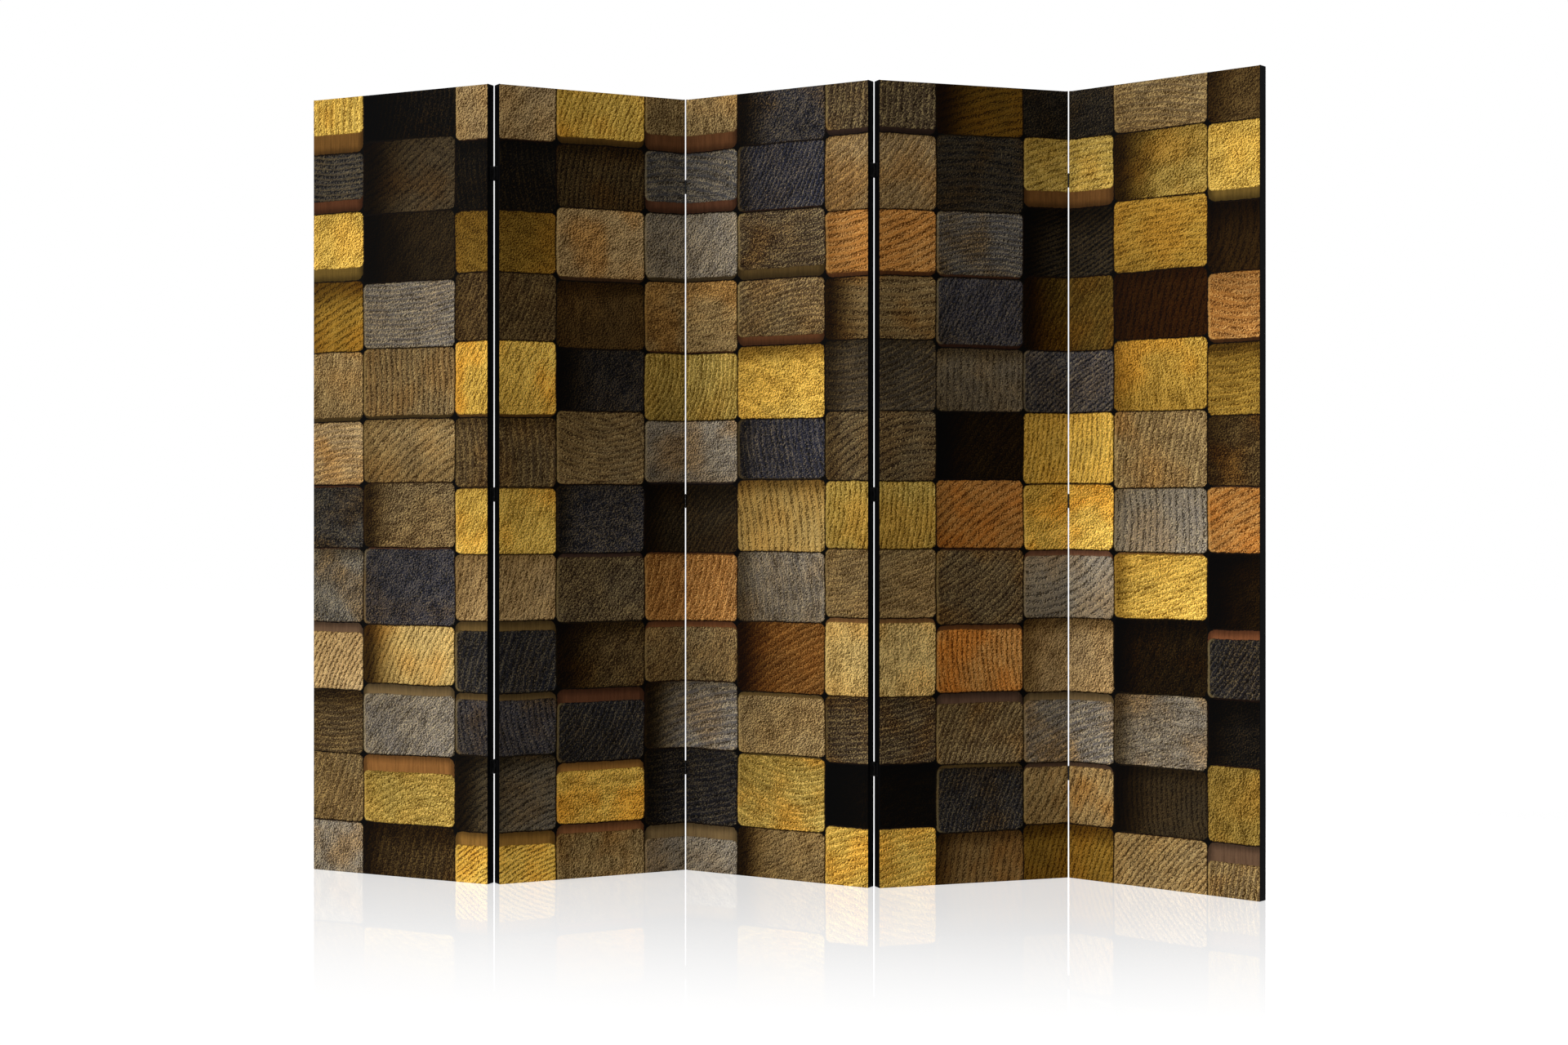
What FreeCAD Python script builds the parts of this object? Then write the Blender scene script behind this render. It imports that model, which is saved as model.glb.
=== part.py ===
import FreeCAD, Part
import math
import os
import Sketcher

# Driving sizes: millimetres, and degrees for the fold angles of the standing screen.
SIZES = {
    "panel_width": 450.0,
    "panel_height": 1720.0,
    "frame_depth": 26.0,
    "canvas_thickness": 0.5,
    "canvas_return": 20.0,
    "canvas_edge_radius": 0.7,
    "backing_thickness": 0.5,
    "backing_inset": 6.0,
    "stile_width": 35.0,
    "rail_height": 35.0,
    "bevel_lip": 9.0,
    "bevel_drop": 3.0,
    "tenon_inset": 9.0,
    "tenon_thickness": 8.0,
    "middle_rail_height": 35.0,
    "middle_rail_level": 860.0,
    "middle_tenon_height": 25.0,
    "middle_tenon_length": 15.0,
    "hinge_height": 30.0,
    "leaf_thickness": 0.6,
    "leaf_gap": 0.3,
    "leaf_reach": 18.0,
    "leaf_window_slack": 0.5,
    "barrel_diameter": 2.8,
    "barrel_clearance": 0.2,
    "knuckle_gap": 0.3,
    "pin_diameter": 1.4,
    "pin_clearance": 0.04,
    "pin_head_diameter": 2.4,
    "pin_head_height": 0.5,
    "pin_crown_diameter": 1.6,
    "ridge_hinge_foot": 251.0,
    "ridge_hinge_rise": 587.0,
    "ridge_hinge_drop": 189.0,
    "valley_hinge_foot": 229.0,
    "valley_hinge_rise": 595.0,
    "valley_hinge_drop": 195.0,
    "screw_diameter": 2.2,
    "screw_length": 14.0,
    "screw_point": 3.0,
    "pilot_slack": 0.5,
    "screw_head_diameter": 3.4,
    "countersink_land": 0.1,
    "screw_clearance": 0.05,
    "screw_setback": 10.0,
    "screw_margin": 7.0,
    "recess_span": 1.9,
    "recess_width": 0.45,
    "recess_depth": 0.4,
    "staple_crown": 10.0,
    "staple_leg": 8.0,
    "staple_wire": 0.6,
    "staple_inset": 15.0,
    "fold_1_angle": 53.2,
    "fold_2_angle": 58.4,
    "fold_3_angle": 50.5,
    "fold_4_angle": 60.5,
}
PANELS = 5
KNUCKLES = 3
STAPLES_PER_SIDE = 9
STAPLES_PER_END = 3
# Cubic millimetres under which a cut counts as having missed.
SLIVER = 1e-6

doc = FreeCAD.newDocument("folding_screen")
sheet = doc.addObject("Spreadsheet::Sheet", "Sizes")
for row, (alias, value) in enumerate(SIZES.items(), start=1):
    sheet.set(f"A{row}", alias)
    sheet.set(f"B{row}", str(value))
    sheet.setAlias(f"B{row}", alias)
doc.recompute()

# Derived lengths, written as formulas over the driving sizes.
WIDTH = "Sizes.panel_width"
HEIGHT = "Sizes.panel_height"
SKIN = "Sizes.canvas_thickness"
SHELL_DEPTH = "(Sizes.frame_depth + 2 * Sizes.canvas_thickness)"
FRAME_BACK = "(Sizes.canvas_thickness + Sizes.frame_depth)"
STILE_INNER = "(Sizes.canvas_thickness + Sizes.stile_width)"
RAIL_INNER = "(Sizes.canvas_thickness + Sizes.rail_height)"
LIP_EDGE = "(Sizes.canvas_thickness + Sizes.bevel_lip)"
BEVEL_LOW = "(Sizes.canvas_thickness + Sizes.bevel_drop)"
TENON_FRONT = "(Sizes.canvas_thickness + Sizes.tenon_inset)"
TENON_BACK = "(Sizes.canvas_thickness + Sizes.tenon_inset + Sizes.tenon_thickness)"
BACK_LAYER = "(Sizes.frame_depth - Sizes.tenon_inset - Sizes.tenon_thickness)"
TENON_LOW = "(Sizes.middle_rail_level - Sizes.middle_tenon_height / 2)"
TENON_HIGH = "(Sizes.middle_rail_level + Sizes.middle_tenon_height / 2)"
TENON_TIP = "(Sizes.canvas_thickness + Sizes.stile_width - Sizes.middle_tenon_length)"
# Leaves sit on the battens in windows of the canvas. The hinge axis lies midway between two leaves
# and just outside the panel face it folds on.
LEAF_BACK = "(Sizes.leaf_thickness + Sizes.leaf_gap / 2)"
AXIS_SIDE = f"({LEAF_BACK} - Sizes.canvas_thickness)"
BARREL_REACH = "(Sizes.barrel_diameter / 2 + Sizes.barrel_clearance)"
AXIS_OUT = f"sqrt({BARREL_REACH} ^ 2 - {AXIS_SIDE} ^ 2)"
SCREW_HOLE = "(Sizes.screw_diameter + 2 * Sizes.screw_clearance)"
SCREW_RISE = "(Sizes.hinge_height / 2 - Sizes.screw_margin)"
HEAD_HEIGHT = "(Sizes.leaf_thickness - Sizes.countersink_land)"
SCREW_BITE = "(Sizes.screw_length - Sizes.leaf_thickness)"
PILOT_DEPTH = f"({SCREW_BITE} + Sizes.pilot_slack)"


def number(formula):
    return float(sheet.evalExpression(formula))


def mirrored(extent, formula):
    return f"({extent} - ({formula}))"


def sketch_at(body, role, offset):
    plane = next(item for item in body.Origin.OriginFeatures if item.Role == role)
    sketch = body.newObject("Sketcher::SketchObject", body.Label + "_sketch")
    sketch.AttachmentSupport = [(plane, "")]
    sketch.MapMode = "FlatFace"
    sketch.setExpression("AttachmentOffset.Base.z", offset)
    return sketch


def fix_point(sketch, index, point, across, up):
    for kind, formula in (("DistanceX", across), ("DistanceY", up)):
        rule = Sketcher.Constraint(kind, -1, 1, index, point, number(formula))
        sketch.setExpression(f"Constraints[{sketch.addConstraint(rule)}]", formula)


def outline(sketch, corners):
    first = sketch.GeometryCount
    points = [FreeCAD.Vector(number(across), number(up), 0) for across, up in corners]
    count = len(points)
    for step in range(count):
        sketch.addGeometry(Part.LineSegment(points[step], points[(step + 1) % count]), False)
    for step in range(count):
        following = first + (step + 1) % count
        sketch.addConstraint(Sketcher.Constraint("Coincident", first + step, 2, following, 1))
    for step, (across, up) in enumerate(corners):
        fix_point(sketch, first + step, 1, across, up)


def rectangle(sketch, left, low, right, high):
    outline(sketch, ((left, low), (right, low), (right, high), (left, high)))


def circle(sketch, across, up, diameter):
    centre = FreeCAD.Vector(number(across), number(up), 0)
    shape = Part.Circle(centre, FreeCAD.Vector(0, 0, 1), number(diameter) / 2)
    index = sketch.addGeometry(shape, False)
    fix_point(sketch, index, 3, across, up)
    rule = Sketcher.Constraint("Diameter", index, number(diameter))
    sketch.setExpression(f"Constraints[{sketch.addConstraint(rule)}]", diameter)


def grow(body, sketch, length):
    before = body.Shape.Volume if body.Tip else 0.0
    pad = body.newObject("PartDesign::Pad", body.Label + "_pad")
    pad.Profile = sketch
    pad.setExpression("Length", length)
    doc.recompute()
    if not body.Shape.Volume > before:
        raise ValueError(f"{body.Label}: a pad added nothing")


def carve(body, sketch, length, reverse=False):
    before = body.Shape.Volume
    pocket = body.newObject("PartDesign::Pocket", body.Label + "_pocket")
    pocket.Profile = sketch
    pocket.Reversed = reverse
    pocket.setExpression("Length", length)
    doc.recompute()
    if not body.Shape.Volume < before - SLIVER:
        raise ValueError(f"{body.Label}: a pocket removed nothing")


def new_body(label):
    body = doc.addObject("PartDesign::Body", label)
    body.Label = label
    return body


def turned(body, corners):
    """A solid of revolution about the upright axis from a half profile (radius, height)."""
    sketch = sketch_at(body, "XZ_Plane", "0")
    outline(sketch, corners)
    spin = body.newObject("PartDesign::Revolution", body.Label + "_spin")
    spin.Profile = sketch
    spin.ReferenceAxis = (sketch, ["V_Axis"])
    spin.Angle = 360.0
    doc.recompute()


def is_ridge(fold):
    return fold % 2 == 1


def hinge_levels(fold):
    kind = "ridge" if is_ridge(fold) else "valley"
    return (
        f"Sizes.{kind}_hinge_foot",
        f"(Sizes.{kind}_hinge_foot + Sizes.{kind}_hinge_rise)",
        f"({HEIGHT} - Sizes.{kind}_hinge_drop)",
    )


def axis_depth(fold):
    if is_ridge(fold):
        return f"({SHELL_DEPTH} + {AXIS_OUT})"
    return f"(0 - {AXIS_OUT})"


def screw_spots(fold):
    """Depth and height of every screw in one leaf row of a fold."""
    inward = "-" if is_ridge(fold) else "+"
    depth = f"({axis_depth(fold)} {inward} Sizes.screw_setback)"
    spots = []
    for level in hinge_levels(fold):
        for sign in ("-", "+"):
            spots.append((depth, f"({level} {sign} {SCREW_RISE})"))
    return spots


# Folds met by a panel at its left and right edge.
def edge_folds(panel):
    folds = {}
    if panel > 1:
        folds["left"] = panel - 1
    if panel < PANELS:
        folds["right"] = panel
    return folds


def drill_pilots(body, fold, side):
    sketch = sketch_at(body, "YZ_Plane", SKIN if side == "left" else mirrored(WIDTH, SKIN))
    for across, up in screw_spots(fold):
        circle(sketch, across, up, SCREW_HOLE)
    carve(body, sketch, PILOT_DEPTH, reverse=(side == "left"))


def cut_windows(body, fold, side):
    """Openings in a wrapped edge, one for each hinge leaf, open to the face that the fold closes on."""
    inward = "-" if is_ridge(fold) else "+"
    far = f"({axis_depth(fold)} {inward} (Sizes.leaf_reach + Sizes.leaf_window_slack))"
    half = "(Sizes.hinge_height / 2 + Sizes.leaf_window_slack)"
    sketch = sketch_at(body, "YZ_Plane", "0" if side == "left" else WIDTH)
    for level in hinge_levels(fold):
        rectangle(sketch, axis_depth(fold), f"{level} - {half}", far, f"{level} + {half}")
    carve(body, sketch, SKIN, reverse=(side == "left"))


def build_canvas(label, folds):
    """Printed canvas: front face, four wrapped edges and the turned-over strip behind."""
    body = new_body(label)
    sketch = sketch_at(body, "XY_Plane", "0")
    rectangle(sketch, "0", "0", WIDTH, SHELL_DEPTH)
    grow(body, sketch, HEIGHT)
    block = body.Tip
    rounding = body.newObject("PartDesign::Fillet", label + "_rounding")
    rounding.Base = (block, [])
    rounding.UseAllEdges = True
    rounding.setExpression("Radius", "Sizes.canvas_edge_radius")
    doc.recompute()
    sketch = sketch_at(body, "XZ_Plane", f"0 - {SKIN}")
    rectangle(sketch, SKIN, SKIN, mirrored(WIDTH, SKIN), mirrored(HEIGHT, SKIN))
    carve(body, sketch, "Sizes.frame_depth")
    margin = f"({SKIN} + Sizes.canvas_return)"
    sketch = sketch_at(body, "XZ_Plane", f"0 - {FRAME_BACK}")
    rectangle(sketch, margin, margin, mirrored(WIDTH, margin), mirrored(HEIGHT, margin))
    carve(body, sketch, SKIN)
    for side, fold in folds.items():
        cut_windows(body, fold, side)
    return body


def build_backing(label):
    """Plain cloth that closes the back over the turned-over strips."""
    body = new_body(label)
    edge = "Sizes.backing_inset"
    sketch = sketch_at(body, "XY_Plane", edge)
    back = f"({SHELL_DEPTH} + Sizes.backing_thickness)"
    rectangle(sketch, edge, SHELL_DEPTH, mirrored(WIDTH, edge), back)
    grow(body, sketch, f"{HEIGHT} - 2 * {edge}")
    return body


def build_stile(label, side, folds):
    """Upright batten with a bevelled face, slotted mitred ends and a mortise halfway up."""
    def across(formula):
        return formula if side == "left" else mirrored(WIDTH, formula)

    body = new_body(label)
    sketch = sketch_at(body, "XY_Plane", SKIN)
    outline(sketch, (
        (across(SKIN), SKIN),
        (across(LIP_EDGE), SKIN),
        (across(STILE_INNER), BEVEL_LOW),
        (across(STILE_INNER), FRAME_BACK),
        (across(SKIN), FRAME_BACK),
    ))
    grow(body, sketch, f"{HEIGHT} - 2 * {SKIN}")
    for start, depth in ((SKIN, "Sizes.tenon_inset"), (TENON_BACK, BACK_LAYER)):
        sketch = sketch_at(body, "XZ_Plane", f"0 - {start}")
        for end in ("bottom", "top"):
            low = SKIN if end == "bottom" else mirrored(HEIGHT, SKIN)
            high = RAIL_INNER if end == "bottom" else mirrored(HEIGHT, RAIL_INNER)
            outline(sketch, (
                (across(SKIN), low),
                (across(STILE_INNER), low),
                (across(STILE_INNER), high),
            ))
        carve(body, sketch, depth)
    sketch = sketch_at(body, "XZ_Plane", f"0 - {TENON_FRONT}")
    rectangle(sketch, across(SKIN), SKIN, across(STILE_INNER), RAIL_INNER)
    rectangle(sketch, across(TENON_TIP), TENON_LOW, across(STILE_INNER), TENON_HIGH)
    top_low = mirrored(HEIGHT, RAIL_INNER)
    top_high = mirrored(HEIGHT, SKIN)
    rectangle(sketch, across(SKIN), top_low, across(STILE_INNER), top_high)
    carve(body, sketch, "Sizes.tenon_thickness")
    if side in folds:
        drill_pilots(body, folds[side], side)
    return body


def build_rail(label, end):
    """Cross batten whose mitred ends leave a full-width tongue for the stile slots."""
    def up(formula):
        return formula if end == "bottom" else mirrored(HEIGHT, formula)

    body = new_body(label)
    sketch = sketch_at(body, "YZ_Plane", SKIN)
    outline(sketch, (
        (SKIN, up(SKIN)),
        (SKIN, up(LIP_EDGE)),
        (BEVEL_LOW, up(RAIL_INNER)),
        (FRAME_BACK, up(RAIL_INNER)),
        (FRAME_BACK, up(SKIN)),
    ))
    grow(body, sketch, f"{WIDTH} - 2 * {SKIN}")
    for start, depth in ((SKIN, "Sizes.tenon_inset"), (TENON_BACK, BACK_LAYER)):
        sketch = sketch_at(body, "XZ_Plane", f"0 - {start}")
        outline(sketch, (
            (SKIN, up(SKIN)),
            (SKIN, up(RAIL_INNER)),
            (STILE_INNER, up(RAIL_INNER)),
        ))
        outline(sketch, (
            (mirrored(WIDTH, SKIN), up(SKIN)),
            (mirrored(WIDTH, SKIN), up(RAIL_INNER)),
            (mirrored(WIDTH, STILE_INNER), up(RAIL_INNER)),
        ))
        carve(body, sketch, depth)
    return body


def build_middle_rail(label):
    """Cross batten set back from the canvas, with a stub tenon at each end."""
    body = new_body(label)
    half = "Sizes.middle_rail_height / 2"
    sketch = sketch_at(body, "YZ_Plane", STILE_INNER)
    low = f"(Sizes.middle_rail_level - {half})"
    high = f"(Sizes.middle_rail_level + {half})"
    rectangle(sketch, BEVEL_LOW, low, FRAME_BACK, high)
    grow(body, sketch, f"{WIDTH} - 2 * {STILE_INNER}")
    sketch = sketch_at(body, "YZ_Plane", TENON_TIP)
    rectangle(sketch, TENON_FRONT, TENON_LOW, TENON_BACK, TENON_HIGH)
    grow(body, sketch, f"{WIDTH} - 2 * {TENON_TIP}")
    return body


def build_leaf(label, knuckles):
    """Hinge leaf about its own axis: plate, rolled knuckles, pin bore, countersunk holes."""
    body = new_body(label)
    inner = "(Sizes.leaf_gap / 2)"
    sketch = sketch_at(body, "XY_Plane", "0 - Sizes.hinge_height / 2")
    rectangle(sketch, inner, BARREL_REACH, LEAF_BACK, "Sizes.leaf_reach")
    grow(body, sketch, "Sizes.hinge_height")
    for low, high in knuckles:
        sketch = sketch_at(body, "XY_Plane", low)
        rectangle(sketch, inner, "0", LEAF_BACK, BARREL_REACH)
        grow(body, sketch, f"{high} - ({low})")
        sketch = sketch_at(body, "XY_Plane", low)
        circle(sketch, "0", "0", "Sizes.barrel_diameter")
        grow(body, sketch, f"{high} - ({low})")
    sketch = sketch_at(body, "XY_Plane", "Sizes.hinge_height / 2")
    circle(sketch, "0", "0", "(Sizes.pin_diameter + 2 * Sizes.pin_clearance)")
    carve(body, sketch, "Sizes.hinge_height")
    wide = "Sizes.screw_head_diameter / 2 + Sizes.screw_clearance"
    narrow = "Sizes.screw_diameter / 2 + Sizes.screw_clearance"
    for sign in ("-", "+"):
        sketch = sketch_at(body, "XY_Plane", f"0 {sign} {SCREW_RISE}")
        outline(sketch, (
            (inner, "Sizes.screw_setback"),
            (inner, f"Sizes.screw_setback + {wide}"),
            (f"{inner} + {HEAD_HEIGHT}", f"Sizes.screw_setback + {narrow}"),
            (LEAF_BACK, f"Sizes.screw_setback + {narrow}"),
            (LEAF_BACK, "Sizes.screw_setback"),
        ))
        before = body.Shape.Volume
        sink = body.newObject("PartDesign::Groove", label + "_countersink")
        sink.Profile = sketch
        sink.ReferenceAxis = (sketch, ["Edge5"])
        sink.Angle = 360.0
        doc.recompute()
        if not body.Shape.Volume < before - SLIVER:
            raise ValueError(f"{label}: a countersink removed nothing")
    return body


def build_pin(label):
    """Hinge pin with a riveted head at both ends, centred on its own middle."""
    body = new_body(label)
    half = "(Sizes.hinge_height / 2 + Sizes.knuckle_gap)"
    tip = f"({half} + Sizes.pin_head_height)"
    shaft = "Sizes.pin_diameter / 2"
    head = "Sizes.pin_head_diameter / 2"
    crown = "Sizes.pin_crown_diameter / 2"
    turned(body, (
        ("0", f"0 - {tip}"), (crown, f"0 - {tip}"), (head, f"0 - {half}"), (shaft, f"0 - {half}"),
        (shaft, half), (head, half), (crown, tip), ("0", tip),
    ))
    return body


def build_screw(label):
    """Countersunk wood screw standing on its point, its flat head at height nought."""
    body = new_body(label)
    shank = "Sizes.screw_diameter / 2"
    turned(body, (
        ("0", "0"),
        ("Sizes.screw_head_diameter / 2", "0"),
        (shank, f"0 - {HEAD_HEIGHT}"),
        (shank, "0 - (Sizes.screw_length - Sizes.screw_point)"),
        ("0", "0 - Sizes.screw_length"),
    ))
    long = "Sizes.recess_span / 2"
    short = "Sizes.recess_width / 2"
    sketch = sketch_at(body, "XY_Plane", "0")
    corners = (
        (long, short), (short, short), (short, long), (f"0 - {short}", long),
        (f"0 - {short}", short), (f"0 - {long}", short), (f"0 - {long}", f"0 - {short}"),
        (f"0 - {short}", f"0 - {short}"), (f"0 - {short}", f"0 - {long}"),
        (short, f"0 - {long}"), (short, f"0 - {short}"), (long, f"0 - {short}"),
    )
    outline(sketch, corners)
    carve(body, sketch, "Sizes.recess_depth")
    return body


def build_staple(label):
    """Square wire staple, crown upright behind the cloth and legs pointing to the front."""
    body = new_body(label)
    half = "Sizes.staple_crown / 2"
    wire = "Sizes.staple_wire"
    leg = "Sizes.staple_leg"
    sketch = sketch_at(body, "YZ_Plane", f"0 - {wire} / 2")
    outline(sketch, (
        (wire, f"0 - {half}"), (wire, half), (f"0 - {leg}", half), (f"0 - {leg}", f"{half} - {wire}"),
        ("0", f"{half} - {wire}"), ("0", f"{wire} - {half}"), (f"0 - {leg}", f"{wire} - {half}"),
        (f"0 - {leg}", f"0 - {half}"),
    ))
    grow(body, sketch, wire)
    return body


def copy_of(master, spot, turn):
    link = doc.addObject("App::Link", master.Label + "_copy")
    link.LinkedObject = master
    link.Placement = FreeCAD.Placement(FreeCAD.Vector(), turn)
    for axis, formula in zip("xyz", spot):
        link.setExpression(f"Placement.Base.{axis}", formula)
    return link


def group(label, copies):
    cluster = doc.addObject("Part::Compound", label)
    cluster.Label = label
    cluster.Links = copies
    doc.recompute()
    if len(cluster.Shape.Solids) != len(copies):
        raise ValueError(f"{label}: pieces of the group run together")
    return cluster


def about(axis, degrees):
    return FreeCAD.Rotation(FreeCAD.Vector(*axis), degrees)


UNTURNED = FreeCAD.Rotation()
MIDDLE = f"Sizes.hinge_height / {2 * KNUCKLES}"
HALF = "Sizes.hinge_height / 2"
GAP = "Sizes.knuckle_gap / 2"
outer_leaf = build_leaf("outer_leaf", (
    (f"(0 - {HALF})", f"(0 - {MIDDLE} - {GAP})"),
    (f"({MIDDLE} + {GAP})", f"({HALF})"),
))
inner_leaf = build_leaf("inner_leaf", ((f"(0 - {MIDDLE} + {GAP})", f"({MIDDLE} - {GAP})"),))
hinge_pin = build_pin("hinge_pin")
hinge_screw = build_screw("hinge_screw")
staple = build_staple("staple")

# Each finished piece with the panel it moves with.
pieces = []
for panel in range(1, PANELS + 1):
    name = f"panel_{panel}"
    folds = edge_folds(panel)
    pieces.append((build_canvas(f"{name}_front_canvas", folds), panel))
    pieces.append((build_backing(f"{name}_back_cover"), panel))
    for side in ("left", "right"):
        pieces.append((build_stile(f"{name}_{side}_stile", side, folds), panel))
    for end in ("top", "bottom"):
        pieces.append((build_rail(f"{name}_{end}_rail", end), panel))
    pieces.append((build_middle_rail(f"{name}_middle_rail"), panel))

    cloth_back = f"({SHELL_DEPTH} + Sizes.backing_thickness)"
    inset = "Sizes.staple_inset"
    staples = []
    for step in range(STAPLES_PER_SIDE):
        level = f"{HEIGHT} * {2 * step + 1} / {2 * STAPLES_PER_SIDE}"
        for across in (inset, mirrored(WIDTH, inset)):
            staples.append(copy_of(staple, (across, cloth_back, level), UNTURNED))
    for step in range(STAPLES_PER_END):
        across = f"{WIDTH} * {2 * step + 1} / {2 * STAPLES_PER_END}"
        for level in (inset, mirrored(HEIGHT, inset)):
            staples.append(copy_of(staple, (across, cloth_back, level), about((0, 1, 0), 90)))
    pieces.append((group(f"{name}_staples", staples), panel))

    screws = []
    for side, fold in folds.items():
        face = "(Sizes.canvas_thickness - Sizes.leaf_thickness)"
        across = face if side == "left" else mirrored(WIDTH, face)
        turn = about((0, 1, 0), -90 if side == "left" else 90)
        for depth, level in screw_spots(fold):
            screws.append(copy_of(hinge_screw, (across, depth, level), turn))
    pieces.append((group(f"{name}_hinge_screws", screws), panel))

# Three hinges on every fold. The leaf with two knuckles and the pin share one panel.
for fold in range(1, PANELS):
    depth = axis_depth(fold)
    left_axis = f"({WIDTH} + {AXIS_SIDE})"
    right_axis = f"(0 - {AXIS_SIDE})"
    if is_ridge(fold):
        left_master, right_master = outer_leaf, inner_leaf
        left_turn, right_turn = about((0, 0, 1), 180), about((1, 0, 0), 180)
        pin_side, pin_axis = fold, left_axis
    else:
        left_master, right_master = inner_leaf, outer_leaf
        left_turn, right_turn = about((0, 1, 0), 180), UNTURNED
        pin_side, pin_axis = fold + 1, right_axis
    levels = hinge_levels(fold)
    left = [copy_of(left_master, (left_axis, depth, level), left_turn) for level in levels]
    right = [copy_of(right_master, (right_axis, depth, level), right_turn) for level in levels]
    pins = [copy_of(hinge_pin, (pin_axis, depth, level), UNTURNED) for level in levels]
    pieces.append((group(f"fold_{fold}_left_leaves", left), fold))
    pieces.append((group(f"fold_{fold}_right_leaves", right), fold + 1))
    pieces.append((group(f"fold_{fold}_pins", pins), pin_side))


def spun(across, depth, heading):
    angle = math.radians(heading)
    return FreeCAD.Vector(
        across * math.cos(angle) - depth * math.sin(angle),
        across * math.sin(angle) + depth * math.cos(angle),
        0,
    )


def stand_panels(first_heading):
    """Foot point and heading of every panel, chained through the hinge axes."""
    width = number(WIDTH)
    side = number(AXIS_SIDE)
    feet = [(FreeCAD.Vector(), first_heading)]
    for fold in range(1, PANELS):
        foot, heading = feet[-1]
        depth = number(axis_depth(fold))
        axis = foot + spun(width + side, depth, heading)
        swing = number(f"Sizes.fold_{fold}_angle")
        following = heading + swing if is_ridge(fold) else heading - swing
        feet.append((axis - spun(-side, depth, following), following))
    return feet


# The run from the first outer corner to the last one lies along the length axis.
last_foot, last_heading = stand_panels(0.0)[-1]
run = last_foot + spun(number(WIDTH), 0, last_heading)
feet = stand_panels(-math.degrees(math.atan2(run.y, run.x)))
for piece, panel in pieces:
    foot, heading = feet[panel - 1]
    piece.Placement = FreeCAD.Placement(foot, about((0, 0, 1), heading))
doc.recompute()

# The middle of the standing outline comes to the origin, on the floor.
boxes = [piece.Shape.optimalBoundingBox(False, False) for piece, panel in pieces]
middle = FreeCAD.Vector(
    (min(box.XMin for box in boxes) + max(box.XMax for box in boxes)) / 2,
    (min(box.YMin for box in boxes) + max(box.YMax for box in boxes)) / 2,
    0,
)
for piece, panel in pieces:
    piece.Placement = FreeCAD.Placement(piece.Placement.Base - middle, piece.Placement.Rotation)
doc.recompute()

for item in doc.Objects:
    if "Invalid" in item.State or "Error" in item.State:
        raise ValueError(f"{item.Label} did not build")
for piece, panel in pieces:
    if piece.Shape.isNull() or not piece.Shape.isValid():
        raise ValueError(f"{piece.Label} has no sound shape")

os.makedirs("parts", exist_ok=True)
for piece, panel in pieces:
    piece.Shape.exportStep(f"parts/{piece.Label}.step")
print(f"{len(pieces)} pieces written")
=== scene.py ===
import math
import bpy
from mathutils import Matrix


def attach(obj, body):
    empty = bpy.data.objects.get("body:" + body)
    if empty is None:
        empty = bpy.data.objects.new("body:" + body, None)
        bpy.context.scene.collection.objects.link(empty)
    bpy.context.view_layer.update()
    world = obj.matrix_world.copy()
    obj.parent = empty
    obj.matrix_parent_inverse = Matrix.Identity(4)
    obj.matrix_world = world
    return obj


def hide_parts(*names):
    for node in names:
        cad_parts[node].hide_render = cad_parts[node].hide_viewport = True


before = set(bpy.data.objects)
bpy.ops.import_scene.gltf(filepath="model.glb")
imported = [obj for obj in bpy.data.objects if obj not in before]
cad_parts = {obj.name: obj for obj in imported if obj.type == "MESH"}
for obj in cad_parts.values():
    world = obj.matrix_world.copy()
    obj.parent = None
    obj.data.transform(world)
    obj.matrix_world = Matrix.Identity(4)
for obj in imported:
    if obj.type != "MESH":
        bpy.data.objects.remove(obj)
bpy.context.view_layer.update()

from types import SimpleNamespace

import bpy
import numpy as np

canvasEnding = "_front_canvas"
panelNames = sorted(
    name.removesuffix(canvasEnding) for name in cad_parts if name.endswith(canvasEnding)
)


# Node trees

nodeGrid = {"rows": 10, "stepX": 190, "stepY": 170}


def linear(red, green, blue):
    # screen colour, 0 to 255, as the linear colour that sockets take, by the sRGB curve
    shares = np.array((red, green, blue)) / 255
    light = np.where(shares <= 0.04045, shares / 12.92, ((shares + 0.055) / 1.055) ** 2.4)
    return (*light.tolist(), 1.0)


def addNode(tree, kind, **settings):
    node = tree.nodes.new(kind)
    for name, value in settings.items():
        setattr(node, name, value)
    column, row = divmod(len(tree.nodes), nodeGrid["rows"])
    node.location = (column * nodeGrid["stepX"], -row * nodeGrid["stepY"])
    return node


def feed(socket, value):
    if isinstance(value, Wire):
        value.tree.links.new(value.socket, socket)
    else:
        socket.default_value = value


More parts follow.
